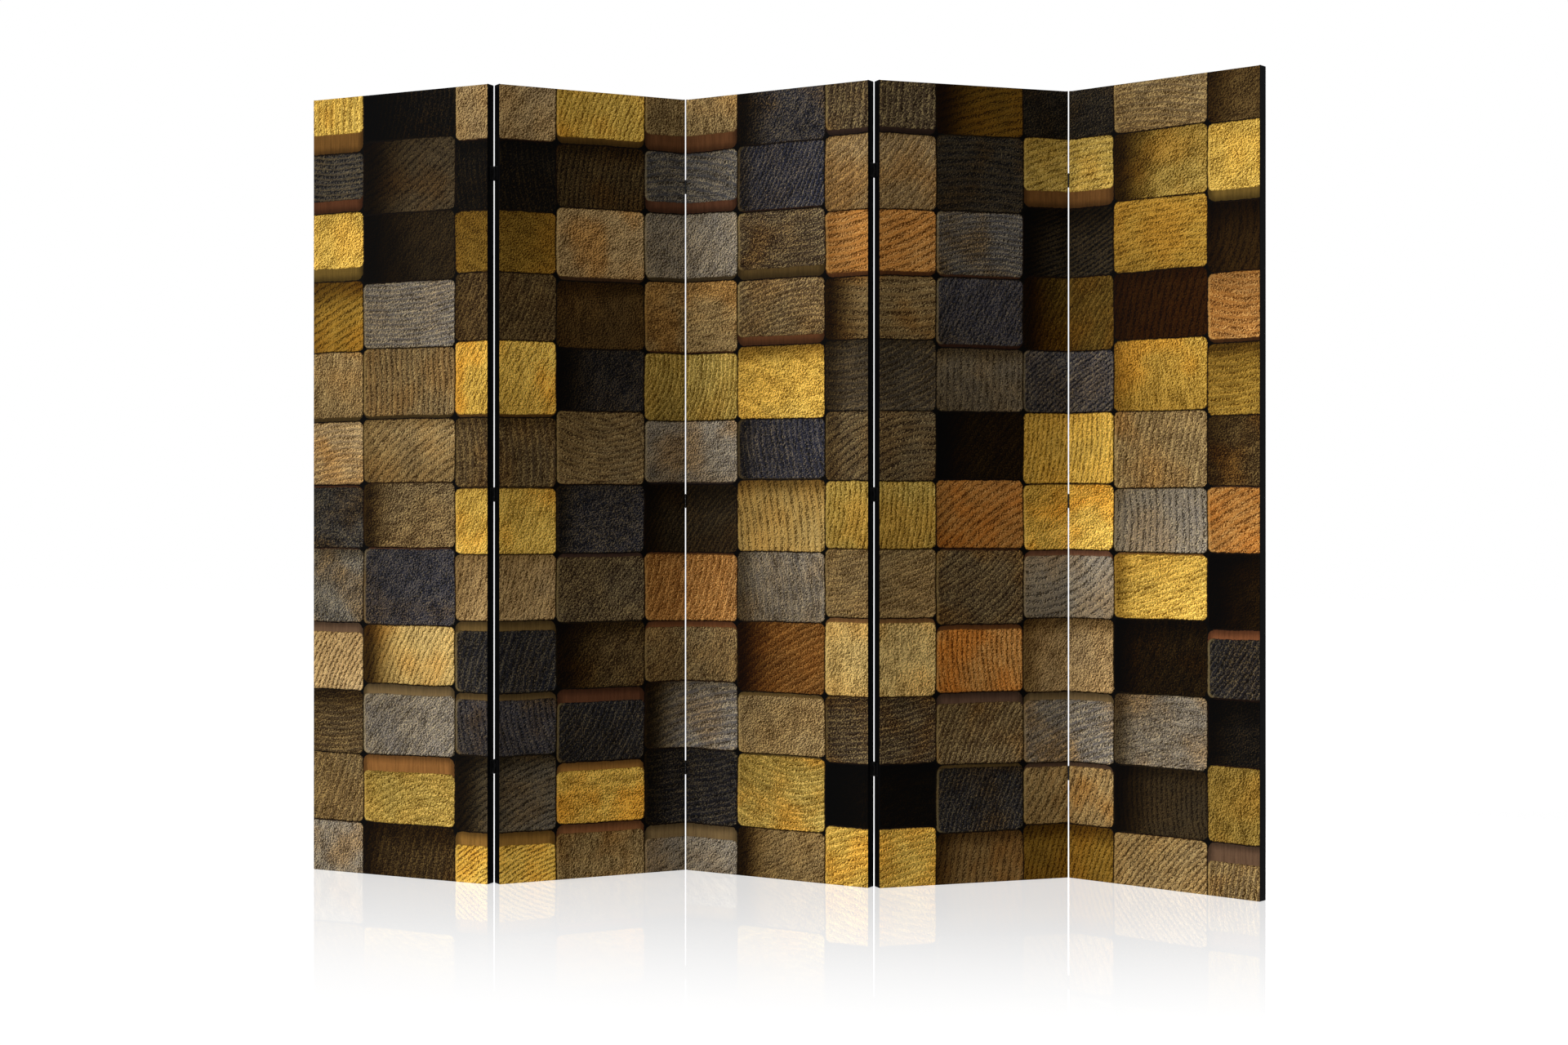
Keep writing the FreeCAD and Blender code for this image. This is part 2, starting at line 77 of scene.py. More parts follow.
class Wire:
    # one value of a node tree; arithmetic with it adds Math nodes
    def __init__(self, tree, socket):
        self.tree = tree
        self.socket = socket

    def math(self, operation, *others):
        node = addNode(self.tree, "ShaderNodeMath", operation=operation)
        for socket, value in zip(node.inputs, (self, *others)):
            feed(socket, value)
        return Wire(self.tree, node.outputs[0])

    def __add__(self, other):
        return self.math("ADD", other)

    def __sub__(self, other):
        return self.math("SUBTRACT", other)

    def __mul__(self, other):
        return self.math("MULTIPLY", other)

    def __truediv__(self, other):
        return self.math("DIVIDE", other)

    def __abs__(self):
        return self.math("ABSOLUTE")

    def span(self, low, high):
        # 0 to 1 stretched to run from low to high
        return self.math("MULTIPLY_ADD", high - low, low)

    def rest(self):
        return self.span(1.0, 0.0)

    def floor(self):
        return self.math("FLOOR")

    def wave(self):
        return self.math("SINE")

    def root(self):
        return self.math("SQRT")

    def above(self, other):
        return self.math("GREATER_THAN", other)

    def least(self, other):
        return self.math("MINIMUM", other)

    def most(self, other):
        return self.math("MAXIMUM", other)

    def ramp(self, low, high):
        # 0 at low, 1 at high, with soft ends
        node = addNode(self.tree, "ShaderNodeMapRange", interpolation_type="SMOOTHSTEP")
        feed(node.inputs["Value"], self)
        feed(node.inputs["From Min"], low)
        feed(node.inputs["From Max"], high)
        return Wire(self.tree, node.outputs["Result"])

    def parts(self):
        node = addNode(self.tree, "ShaderNodeSeparateXYZ")
        feed(node.inputs[0], self)
        return [Wire(self.tree, socket) for socket in node.outputs]


def vectorOf(tree, x, y, z=0.0):
    node = addNode(tree, "ShaderNodeCombineXYZ")
    for socket, value in zip(node.inputs, (x, y, z)):
        feed(socket, value)
    return Wire(tree, node.outputs[0])


def mixColour(tree, share, first, second, blend="MIX"):
    node = addNode(tree, "ShaderNodeMix", data_type="RGBA", blend_type=blend)
    entries = {socket.identifier: socket for socket in node.inputs}
    results = {socket.identifier: socket for socket in node.outputs}
    feed(entries["Factor_Float"], share)
    feed(entries["A_Color"], first)
    feed(entries["B_Color"], second)
    return Wire(tree, results["Result_Color"])


def tinted(tree, colour, factors):
    # colour times steady factors for red, green and blue
    return mixColour(tree, 1.0, colour, (*factors, 1.0), "MULTIPLY")


def toned(tree, colour, red, green, blue):
    # colour times factors that vary over the surface
    return mixColour(tree, 1.0, colour, vectorOf(tree, red, green, blue), "MULTIPLY")


def noise(tree, place, scale, detail=2.0, roughness=0.5):
    node = addNode(tree, "ShaderNodeTexNoise")
    feed(node.inputs["Vector"], place)
    feed(node.inputs["Scale"], scale)
    feed(node.inputs["Detail"], detail)
    feed(node.inputs["Roughness"], roughness)
    return node


def noiseValue(tree, place, scale, **settings):
    return Wire(tree, noise(tree, place, scale, **settings).outputs["Fac"])


def noiseParts(tree, place, scale, **settings):
    return Wire(tree, noise(tree, place, scale, **settings).outputs["Color"]).parts()


def drawLots(tree, x, y, seed):
    # three steady random numbers for each whole-number cell
    node = addNode(tree, "ShaderNodeTexWhiteNoise", noise_dimensions="3D")
    feed(node.inputs["Vector"], vectorOf(tree, x, y, seed))
    return Wire(tree, node.outputs["Color"]).parts()


def newGroup(name, inputs, outputs):
    tree = bpy.data.node_groups.new(name, "ShaderNodeTree")
    for label, kind in inputs:
        tree.interface.new_socket(label, in_out="INPUT", socket_type=kind)
    for label, kind in outputs:
        tree.interface.new_socket(label, in_out="OUTPUT", socket_type=kind)
    entry = addNode(tree, "NodeGroupInput")
    result = addNode(tree, "NodeGroupOutput")
    return tree, {label: Wire(tree, entry.outputs[label]) for label, kind in inputs}, result


def useGroup(tree, group, **values):
    node = addNode(tree, "ShaderNodeGroup", node_tree=group)
    for label, value in values.items():
        feed(node.inputs[label], value)
    return {socket.name: Wire(tree, socket) for socket in node.outputs}


def newMaterial(name, **plain):
    material = bpy.data.materials.new(name)
    material.use_nodes = True
    shader = material.node_tree.nodes["Principled BSDF"]
    for label, value in plain.items():
        shader.inputs[label.replace("_", " ")].default_value = value
    return material, material.node_tree, shader


def objectPlace(tree):
    return Wire(tree, addNode(tree, "ShaderNodeTexCoord").outputs["Object"])


def clothPlace(tree):
    return Wire(tree, addNode(tree, "ShaderNodeUVMap", uv_map="cloth").outputs["UV"])


def bumpFrom(tree, shader, height, settings):
    node = addNode(tree, "ShaderNodeBump")
    feed(node.inputs["Height"], height)
    node.inputs["Strength"].default_value = settings["bump"]
    node.inputs["Distance"].default_value = settings["bumpDepth"]
    tree.links.new(node.outputs["Normal"], shader.inputs["Normal"])


# Shared effects

weaveSet = {"columnSeed": 3.0, "rowSeed": 5.0}
scuffSet = {
    "patchDetail": 3.0, "fineDetail": 1.0, "stretch": 6.0,
    "scratchScale": 2.0, "scratches": (0.66, 0.72), "grainScale": 9.0,
}
grainSet = {
    "bandScale": 70.0, "bands": 40.0, "lateWood": (0.2, 1.0), "poreScale": 900.0,
    "lateShare": 0.6, "poreShare": 0.4,
}


def makeWeave(settings):
    # plain weave: threads rise and dip as half sine waves, over and under by turns
    tree, given, result = newGroup(
        "plainWeave",
        (("Cloth", "NodeSocketVector"), ("Pitch", "NodeSocketFloat")),
        (("Height", "NodeSocketFloat"), ("Thread", "NodeSocketFloat")),
    )
    u, v, unused = given["Cloth"].parts()
    across = u / given["Pitch"]
    along = v / given["Pitch"]
    column = across.floor()
    row = along.floor()
    overs = (column + row).math("PINGPONG", 1.0)
    weft = ((across - column) * math.pi).wave()
    warp = ((along - row) * math.pi).wave()
    columnLot = drawLots(tree, column, 0.0, settings["columnSeed"])[0]
    rowLot = drawLots(tree, 0.0, row, settings["rowSeed"])[0]
    feed(result.inputs["Height"], weft * overs + warp * overs.rest())
    feed(result.inputs["Thread"], columnLot * overs + rowLot * overs.rest())
    return tree


def makeScuffs(settings):
    # broad dull patches, fine scratches and grain on a coat of paint
    tree, given, result = newGroup(
        "paintScuffs",
        (("Place", "NodeSocketVector"), ("Scale", "NodeSocketFloat")),
        (("Patch", "NodeSocketFloat"), ("Scratch", "NodeSocketFloat"), ("Grain", "NodeSocketFloat")),
    )
    place, scale = given["Place"], given["Scale"]
    x, y, z = place.parts()
    drawn = vectorOf(tree, x * settings["stretch"], y * settings["stretch"], z)
    patch = noiseValue(tree, place, scale, detail=settings["patchDetail"])
    scratch = noiseValue(tree, drawn, scale * settings["scratchScale"], detail=settings["fineDetail"])
    grain = noiseValue(tree, place, scale * settings["grainScale"], detail=settings["fineDetail"])
    feed(result.inputs["Patch"], patch)
    feed(result.inputs["Scratch"], scratch.ramp(*settings["scratches"]))
    feed(result.inputs["Grain"], grain)
    return tree


def makePineGrain(settings):
    # growth rings as waves over drawn-out noise, darker late wood, fine pores
    tree, given, result = newGroup(
        "pineGrain",
        (("Place", "NodeSocketVector"), ("Across", "NodeSocketFloat"), ("Up", "NodeSocketFloat")),
        (("Dark", "NodeSocketFloat"), ("Pores", "NodeSocketFloat")),
    )
    x, y, z = given["Place"].parts()
    drawn = vectorOf(tree, x * given["Across"], y * given["Across"], z * given["Up"])
    bands = noiseValue(tree, drawn, settings["bandScale"]) * settings["bands"]
    late = bands.wave().ramp(*settings["lateWood"])
    pores = noiseValue(tree, drawn, settings["poreScale"])
    feed(result.inputs["Dark"], late * settings["lateShare"] + pores * settings["poreShare"])
    feed(result.inputs["Pores"], pores)
    return tree


weave = makeWeave(weaveSet)
scuffs = makeScuffs(scuffSet)
pineGrain = makePineGrain(grainSet)
print("shared effects made")


# Print of the canvas: metres on the cloth, and lots from 0 to 1 for each block

blockLayout = {
    "column": 0.222, "columnStart": 0.37, "columnJitter": 0.10,
    "row": 0.149, "rowStart": 0.22, "rowJitter": 0.15,
    "bendScale": 9.0, "bendDetail": 1.0, "bend": 0.006, "frayScale": 170.0, "fray": 0.0045,
    "gap": 0.0010, "corner": 0.017, "faceCorner": 0.0119,
    "eyeLevel": 0.86, "sideDepth": 0.046, "sideFrom": 0.50,  # from which lot on blocks stand forward
    "seed": 35.0, "columnSeed": 11.0, "rowSeed": 23.0, "ringSeed": 47.0, "sawSeed": 53.0, "toneSeed": 59.0,
}


def boxDistance(x, y, halfWidth, halfHeight, corner):
    # signed distance to a rectangle with rounded corners, below nought inside
    right = abs(x) - halfWidth + corner
    up = abs(y) - halfHeight + corner
    outX = right.most(0.0)
    outY = up.most(0.0)
    return (outX * outX + outY * outY).root() + right.most(up).least(0.0) - corner


def cellOf(place, lot, jitter):
    # whole number of the cell, with unevenly set walls; also its low and high wall
    near = (place + 0.5).floor()
    wall = near + (lot(near) - 0.5) * jitter
    cell = near - 1.0 + place.above(wall)
    low = cell + (lot(cell) - 0.5) * jitter
    following = cell + 1.0
    high = following + (lot(following) - 0.5) * jitter
    return cell, low, high


def layBlocks(tree, cloth, layout):
    # columns of stacked blocks, with the lots of the block at each place on the cloth
    block = SimpleNamespace(cloth=cloth)
    u, v, unused = cloth.parts()
    bendX, bendY, unused = noiseParts(tree, cloth, layout["bendScale"], detail=layout["bendDetail"])
    frayX, frayY, unused = noiseParts(tree, cloth, layout["frayScale"])
    block.u = u + (bendX - 0.5) * layout["bend"]
    block.v = v + (bendY - 0.5) * layout["bend"]
    placeX = (block.u + (frayX - 0.5) * layout["fray"]) / layout["column"] + layout["columnStart"]
    placeY = (block.v + (frayY - 0.5) * layout["fray"]) / layout["row"] + layout["rowStart"]

    def columnLot(number):
        return drawLots(tree, number, 0.0, layout["columnSeed"])[0]

    column, left, right = cellOf(placeX, columnLot, layout["columnJitter"])

    def rowLot(number):
        return drawLots(tree, column, number, layout["rowSeed"])[0]

    row, low, high = cellOf(placeY, rowLot, layout["rowJitter"])
    block.width = (right - left) * layout["column"]
    block.height = (high - low) * layout["row"]
    block.across = (placeX - left) / (right - left)
    block.up = (placeY - low) / (high - low)
    block.x = (block.across - 0.5) * block.width
    block.y = (block.up - 0.5) * block.height

    block.paintLot, block.proud, block.turn = drawLots(tree, column, row, layout["seed"])
    block.rings, block.spacing, block.far = drawLots(tree, column, row, layout["ringSeed"])
    block.saw, block.warmth, block.lane = drawLots(tree, column, row, layout["sawSeed"])
    block.rough, block.lineTone, block.sideLot = drawLots(tree, column, row, layout["toneSeed"])
    block.proudLeft = drawLots(tree, column - 1.0, row, layout["seed"])[1]
    block.proudAbove = drawLots(tree, column, row + 1.0, layout["seed"])[1]

    # blocks that stand forward show their upper side below eye level, their lower side above it
    block.level = ((low + high) * 0.5 - layout["rowStart"]) * layout["row"] - layout["eyeLevel"]
    forward = block.proud.ramp(layout["sideFrom"], 1.0) * (layout["sideDepth"] / layout["eyeLevel"])
    upperSide = (block.level * -1.0).most(0.0) * forward
    lowerSide = block.level.most(0.0) * forward
    block.halfWidth = block.width * 0.5 - layout["gap"]
    halfHeight = block.height * 0.5 - layout["gap"]
    block.edge = boxDistance(block.x, block.y, block.halfWidth, halfHeight, layout["corner"])
    faceY = block.y - (lowerSide - upperSide) * 0.5
    faceHalf = halfHeight - (lowerSide + upperSide) * 0.5
    block.faceEdge = boxDistance(block.x, faceY, block.halfWidth, faceHalf, layout["faceCorner"])
    return block


blockRelief = {
    "lightStep": (-0.0013, 0.0008),  # towards the light that the picture is taken in
    "strokeScale": (300.0, 130.0), "strokeApart": 90.0, "strokeDetail": 3.0, "strokeRoughness": 0.72,
    "strokeSwing": 0.7, "strokeDepth": (0.6, 1.3), "strokeTone": 0.65,
    "gritScale": 240.0, "gritRoughness": 0.8, "gritDepth": (2.3, 1.7),
    "patchScale": (60.0, 24.0), "patchApart": 70.0, "patchTone": 0.65,
    "ringSpacing": (0.010, 0.017), "ringReach": (0.20, 1.10), "ringDepth": 0.20, "ringFray": 3.0,
    "ringAngle": -0.75, "ringSwing": 1.9,  # where the heart of the log lies: down to the right, or opposite
    "ringedLots": (0.05, 0.65), "wanderScale": 18.0, "wander": 0.008,
    "line": (0.10, 0.85), "lineDepth": 0.45, "texture": (-0.20, 0.26),
}


def carveBlocks(tree, block, relief):
    # Rough-sawn face: strokes along the growth rings, grit, and rings as sine waves about a far centre.
    # Its slope is the height here less the height one step towards the light, and some of the height.
    opposite = block.lane.above(0.5) * math.pi
    ringAngle = (block.turn - 0.5) * relief["ringSwing"] + opposite + relief["ringAngle"]
    sawAngle = ringAngle + (block.saw - 0.5) * relief["strokeSwing"] + math.pi / 2
    sawX, sawY = sawAngle.math("COSINE"), sawAngle.wave()
    reach = block.far.span(*relief["ringReach"])
    centreX, centreY = ringAngle.math("COSINE") * reach, ringAngle.wave() * reach
    wander = (noiseValue(tree, block.cloth, relief["wanderScale"]) - 0.5) * relief["wander"]
    pitch = block.spacing.span(*relief["ringSpacing"])

    def sawn(x, y, scale, apart, **settings):
        # noise drawn out along the saw strokes, another piece of it on every block
        aside = (y * sawX - x * sawY) * scale[0]
        along = (x * sawX + y * sawY) * scale[1]
        return noiseValue(tree, vectorOf(tree, aside, along, block.lane * apart), 1.0, **settings)

    def heights(stepX, stepY):
        x, y = block.x + stepX, block.y + stepY
        strokes = sawn(
            x, y, relief["strokeScale"], relief["strokeApart"],
            detail=relief["strokeDetail"], roughness=relief["strokeRoughness"],
        )
        place = vectorOf(tree, x, y, block.lane)
        grit = noiseValue(tree, place, relief["gritScale"], roughness=relief["gritRoughness"])
        fromX, fromY = x - centreX, y - centreY
        radius = (fromX * fromX + fromY * fromY).root() + wander
        ring = (radius / pitch * (2 * math.pi) + (strokes - 0.5) * relief["ringFray"]).wave()
        return strokes, grit, ring

    strokes, grit, ring = heights(0.0, 0.0)
    strokesOn, gritOn, ringOn = heights(*relief["lightStep"])
    ringShare = block.rings.ramp(*relief["ringedLots"])
    patches = sawn(block.x, block.y, relief["patchScale"], relief["patchApart"])
    slope = (strokes - strokesOn) * block.rough.span(*relief["strokeDepth"])
    slope = slope + (grit - gritOn) * block.rough.span(*relief["gritDepth"])
    slope = slope + (ring - ringOn) * ringShare * relief["ringDepth"]
    slope = slope + (strokes - 0.5) * relief["strokeTone"] + (patches - 0.5) * relief["patchTone"]
    block.line = ring.ramp(*relief["line"]) * ringShare
    block.slope = slope * block.line.span(1.0, relief["lineDepth"])
    block.texture = block.slope.ramp(*relief["texture"])


blockPaint = {
    "palette": (  # share of the blocks, then the paint
        (2.6, (222, 177, 72)), (1.2, (200, 166, 98)), (1.6, (170, 139, 60)), (1.3, (170, 112, 52)),
        (1.6, (162, 131, 88)), (2.0, (130, 104, 66)), (1.7, (102, 80, 52)), (1.6, (72, 57, 43)),
        (1.8, (122, 113, 102)), (1.4, (88, 84, 80)), (2.4, (42, 44, 56)), (2.5, (38, 37, 40)),
    ),
    "hollow": (0.21, 0.165, 0.095), "crest": (1.68, 1.73, 1.80),  # factors on the paint
    "gold": (255, 222, 140), "goldShare": 0.35,
    "glint": (0.10, 0.34), "glintPaints": (0.95, 0.60), "glintShare": (0.25, 0.85),
    "bareWood": (0.62, 0.66, 0.78), "gilding": (1.45, 1.42, 1.30),  # factors along the rings
    "leaf": (214, 178, 96), "leafShare": 0.10, "gildedLots": (0.4, 0.6), "lineShare": 0.72,
    "speckScale": 330.0, "speckDetail": 0.0, "speckApart": 3.0, "pits": (0.44, 0.28), "pitShare": 0.4,
    "sparkle": (0.57, 0.72), "sparkleRise": (0.3, 1.0),
    "sparklePaints": (0.95, 0.55), "sparkleShare": (0.2625, 0.75),
    "rim": (-0.0075, -0.0025), "rimSide": (-0.80, -0.97), "rimLots": (0.3, 0.7), "rimShare": 0.45,
    "cloudScale": 9.0, "cloudApart": 40.0,
    "warmClouds": (0.44, 0.68), "coolClouds": (0.52, 0.34), "coolShare": 0.8,
    "warm": (1.10, 0.84, 0.52), "cool": (0.82, 0.86, 0.98),  # factors in the clouds
}


def paletteRamp(tree, lot, palette):
    node = addNode(tree, "ShaderNodeValToRGB")
    ramp = node.color_ramp
    ramp.interpolation = "CONSTANT"
    shares = np.cumsum([share for share, colour in palette])
    starts = np.concatenate(([0.0], shares[:-1])) / shares[-1]
    while len(ramp.elements) < len(starts):
        ramp.elements.new(1.0)
    for element, start, (share, colour) in zip(ramp.elements, starts.tolist(), palette):
        element.position = start
        element.color = linear(*colour)
    feed(node.inputs[0], lot)
    return Wire(tree, node.outputs[0])


def paintBlocks(tree, block, paint):
    # dark in the hollows, golden where the relief meets the light
    block.base = paletteRamp(tree, block.paintLot, paint["palette"])
    hollow = tinted(tree, block.base, paint["hollow"])
    crest = tinted(tree, block.base, paint["crest"])
    face = mixColour(tree, block.texture, hollow, crest)
    glint = mixColour(tree, paint["goldShare"], crest, linear(*paint["gold"]))
    glintShare = block.paintLot.ramp(*paint["glintPaints"]).span(*paint["glintShare"])
    face = mixColour(tree, block.slope.ramp(*paint["glint"]) * glintShare, face, glint)

    # bare wood or leaf along the rings
    bareWood = tinted(tree, block.base, paint["bareWood"])
    gilded = tinted(tree, block.base, paint["gilding"])
    gilded = mixColour(tree, paint["leafShare"], gilded, linear(*paint["leaf"]))
    lineColour = mixColour(tree, block.lineTone.ramp(*paint["gildedLots"]), bareWood, gilded)
    face = mixColour(tree, block.line * paint["lineShare"], face, lineColour)

    # sparkling specks and pits, and a lit rim on the left of forward faces
    place = vectorOf(tree, block.x, block.y, block.lane * paint["speckApart"])
    specks = noiseValue(tree, place, paint["speckScale"], detail=paint["speckDetail"])
    sparkle = specks.ramp(*paint["sparkle"]) * block.texture.span(*paint["sparkleRise"])
    sparkle = sparkle * block.paintLot.ramp(*paint["sparklePaints"]).span(*paint["sparkleShare"])
    face = mixColour(tree, sparkle, face, glint)
    face = mixColour(tree, specks.ramp(*paint["pits"]) * paint["pitShare"], face, hollow)
    rim = block.faceEdge.ramp(*paint["rim"]) * (block.x / block.halfWidth).ramp(*paint["rimSide"])
    rim = rim * block.proud.ramp(*paint["rimLots"]) * paint["rimShare"]
    face = mixColour(tree, rim, face, glint)

    # warm and cool clouds
    place = vectorOf(tree, block.u, block.v, block.lane * paint["cloudApart"])
    cloud = noiseValue(tree, place, paint["cloudScale"])
    warm = tinted(tree, face, paint["warm"])
    cool = tinted(tree, face, paint["cool"])
    coolShare = cloud.ramp(*paint["coolClouds"]) * block.warmth.rest() * paint["coolShare"]
    face = mixColour(tree, cloud.ramp(*paint["warmClouds"]) * block.warmth, face, warm)
    return mixColour(tree, coolShare, face, cool)


blockLight = {
    "castLeft": (0.010, 0.210), "castAbove": (0.008, 0.098),  # a shadow's reach from no step and a full one
    "fade": (1.0, 0.1), "stepsLeft": (0.04, 0.40), "stepsAbove": (0.06, 0.50),
    "leftInShade": 0.07, "aboveInShade": 0.30,
    "tiltAcross": 0.34, "tiltUp": 0.8, "sunkenLots": (0.02, 0.60), "sunkenLight": (0.05, 1.01),
    "edge": (-0.0028, 0.0), "edgeLight": 0.55, "greenFall": 1.12, "blueFall": 1.38,
}


def lightFace(tree, block, face, light):
    # light from the left: a forward neighbour throws a soft warm shadow on a sunken face
    stepLeft = (block.proudLeft - block.proud).most(0.0)
    stepAbove = (block.proudAbove - block.proud).most(0.0)
    fromLeft = block.across * block.width / stepLeft.span(*light["castLeft"])
    fromAbove = block.up.rest() * block.height / stepAbove.span(*light["castAbove"])
    shadeLeft = fromLeft.ramp(*light["fade"]) * stepLeft.ramp(*light["stepsLeft"])
    shadeAbove = fromAbove.ramp(*light["fade"]) * stepAbove.ramp(*light["stepsAbove"])
    tilt = (block.across - 0.5) * light["tiltAcross"]
    tilt = tilt + (block.up - 0.5) * (block.saw - 0.5) * light["tiltUp"] + 1.0
    tone = shadeLeft.span(1.0, light["leftInShade"]) * shadeAbove.span(1.0, light["aboveInShade"])
    tone = tone * block.proud.ramp(*light["sunkenLots"]).span(*light["sunkenLight"]) * tilt
    tone = tone * block.faceEdge.ramp(*light["edge"]).span(1.0, light["edgeLight"])
    greenTone = tone.math("POWER", light["greenFall"])
    blueTone = tone.math("POWER", light["blueFall"])
    return toned(tree, face, tone, greenTone, blueTone)


blockSides = {
    "tones": ((1.0, (166, 100, 58)), (1.0, (128, 78, 46)), (0.8, (110, 80, 66)), (0.6, (150, 118, 62))),
    "paintShare": 0.3, "streakScale": (240.0, 18.0), "streakApart": 90.0, "streakTone": (0.35, 1.05),
    "lowerSides": (-0.05, 0.05), "lowerLight": 0.5, "edge": (-0.020, 0.0), "edgeLight": 0.4,
    "gapColour": (5, 4, 3), "sideBorder": (0.0006, -0.0012), "faceBorder": (0.0008, -0.0012),
}


def colourSides(tree, block, sides):
    # streaked long grain on the sides of forward blocks, darker towards the gaps and underneath
    acrossScale, upScale = sides["streakScale"]
    place = vectorOf(tree, block.x * acrossScale, block.y * upScale, block.lane * sides["streakApart"])
    tone = noiseValue(tree, place, 1.0).span(*sides["streakTone"])
    tone = tone * block.level.ramp(*sides["lowerSides"]).span(1.0, sides["lowerLight"])
    tone = tone * block.edge.ramp(*sides["edge"]).span(1.0, sides["edgeLight"])
    wood = mixColour(tree, sides["paintShare"], paletteRamp(tree, block.sideLot, sides["tones"]), block.base)
    return toned(tree, wood, tone, tone, tone)


def makeBlockPrint():
    # stacked end-grain blocks, some pushed forward, lit from the left, painted in metal and earth tones
    tree, given, result = newGroup(
        "blockPrint", (("Cloth", "NodeSocketVector"),), (("Color", "NodeSocketColor"),),
    )
    block = layBlocks(tree, given["Cloth"], blockLayout)
    carveBlocks(tree, block, blockRelief)
    face = lightFace(tree, block, paintBlocks(tree, block, blockPaint), blockLight)
    side = colourSides(tree, block, blockSides)
    gap = linear(*blockSides["gapColour"])
    whole = mixColour(tree, block.edge.ramp(*blockSides["sideBorder"]), gap, side)
    whole = mixColour(tree, block.faceEdge.ramp(*blockSides["faceBorder"]), whole, face)
    feed(result.inputs["Color"], whole)
    return tree


# Printed canvas

canvasFinish = {
    "gloss": 0.03, "threadPitch": 0.0009, "black": (3, 3, 4), "printEdge": (0.35, 0.65),
    "threadTone": 0.10, "heightTone": 0.06, "leastTone": 0.90, "roughness": (0.78, 0.66),
    "bump": 0.25, "bumpDepth": 0.00015,
}
canvasCut = {
    "edgeRadius": 0.0007, "returnWidth": 0.020, "thickness": 0.0005,
    "faceStep": 0.0125, "arcSteps": 4, "wallSteps": 8, "returnSteps": 3,
    "printOver": 0.6,  # share of the edge's arc that the print covers
    "seat": 0.1, "rise": 2.0, "pressed": 0.5, "pressedRise": 0.1,  # corner folds, in thicknesses
    "foldFrom": 0.42, "foldOver": 0.16,  # shares of a right angle
    "sag": 0.0006, "sagAcross": 6, "sagUp": 12, "ripple": 0.00010, "pulls": ((38, 9), (31, -12)),
}
nearNought = 1e-9


def makeCanvasMaterial(finish):
    material, tree, shader = newMaterial("printedCanvas", Specular_IOR_Level=finish["gloss"])
    cloth = clothPlace(tree)
    printed = Wire(tree, addNode(tree, "ShaderNodeAttribute", attribute_name="printed").outputs["Fac"])
    threads = useGroup(tree, weave, Cloth=cloth, Pitch=finish["threadPitch"])
    picture = useGroup(tree, makeBlockPrint(), Cloth=cloth)["Color"]
    colour = mixColour(tree, printed.ramp(*finish["printEdge"]), linear(*finish["black"]), picture)
    # each thread's own random tone, plus painted shade: darker in the dips between threads, lighter on their
    # crests
    tone = threads["Thread"] * finish["threadTone"] + threads["Height"] * finish["heightTone"]
    tone = tone + finish["leastTone"]
    feed(shader.inputs["Base Color"], toned(tree, colour, tone, tone, tone))
    feed(shader.inputs["Roughness"], threads["Height"].span(*finish["roughness"]))
    bumpFrom(tree, shader, threads["Height"], finish)
    return material


def nodePoints(name):
    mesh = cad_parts[name].data
    points = np.empty(len(mesh.vertices) * 3, np.float32)
    mesh.vertices.foreach_get("co", points)
    return points.reshape(-1, 3).astype(float)


class Panel:
    # one panel's own directions, read from its nodes: across, backwards and up from its front left foot
    def __init__(self, name):
        self.name = name
        cover = nodePoints(f"{name}_back_cover")[:, :2]
        spread = cover - (cover.min(0) + cover.max(0)) / 2
        across = np.linalg.svd(spread, full_matrices=False)[2][0]  # the way it spreads most, seen from above
        across = across * np.sign(across[0])
        self.across = np.array((*across, 0.0))
        self.back = np.array((-across[1], across[0], 0.0))
        self.up = np.array((0.0, 0.0, 1.0))
        self.foot = np.zeros(3)
        low, high = self.extent(f"{name}{canvasEnding}")
        self.foot = self.world(*low)
        self.width, self.depth, self.height = high - low

    def local(self, points):
        away = points - self.foot
        return np.stack((away @ self.across, away @ self.back, away @ self.up), 1)

    def extent(self, node):
        points = self.local(nodePoints(node))
        return points.min(0), points.max(0)

    def world(self, x, y, z):
        directions = (self.across, self.back, self.up)
        return self.foot + sum(np.asarray(run)[..., None] * way for run, way in zip((x, y, z), directions))


def clothRun(length, depth, cut):
    # samples of one direction of the cut: how far past the flat face, on which side, and where on the face
    radius = cut["edgeRadius"]
    arc = radius * math.pi / 2
    wall = arc + depth - 2 * radius
    behind = wall + arc
    past = np.concatenate((
        np.linspace(0, arc, cut["arcSteps"] + 1),
        np.linspace(arc, wall, cut["wallSteps"] + 1)[1:],
        np.linspace(wall, behind, cut["arcSteps"] + 1)[1:],
        np.linspace(behind, behind + cut["returnWidth"] - radius, cut["returnSteps"] + 1)[1:],
    ))
    face = np.linspace(radius, length - radius, round(length / cut["faceStep"]) + 1)
    count = len(past) - 1
    over = np.concatenate((past[:0:-1], np.zeros(len(face)), past[1:]))
    side = np.concatenate((-np.ones(count), np.zeros(len(face)), np.ones(count)))
    side[[count, -count - 1]] = (-1, 1)  # the outermost points of the face
    flat = np.concatenate((np.full(count, face[0]), face, np.full(count, face[-1])))
    return over, side, flat


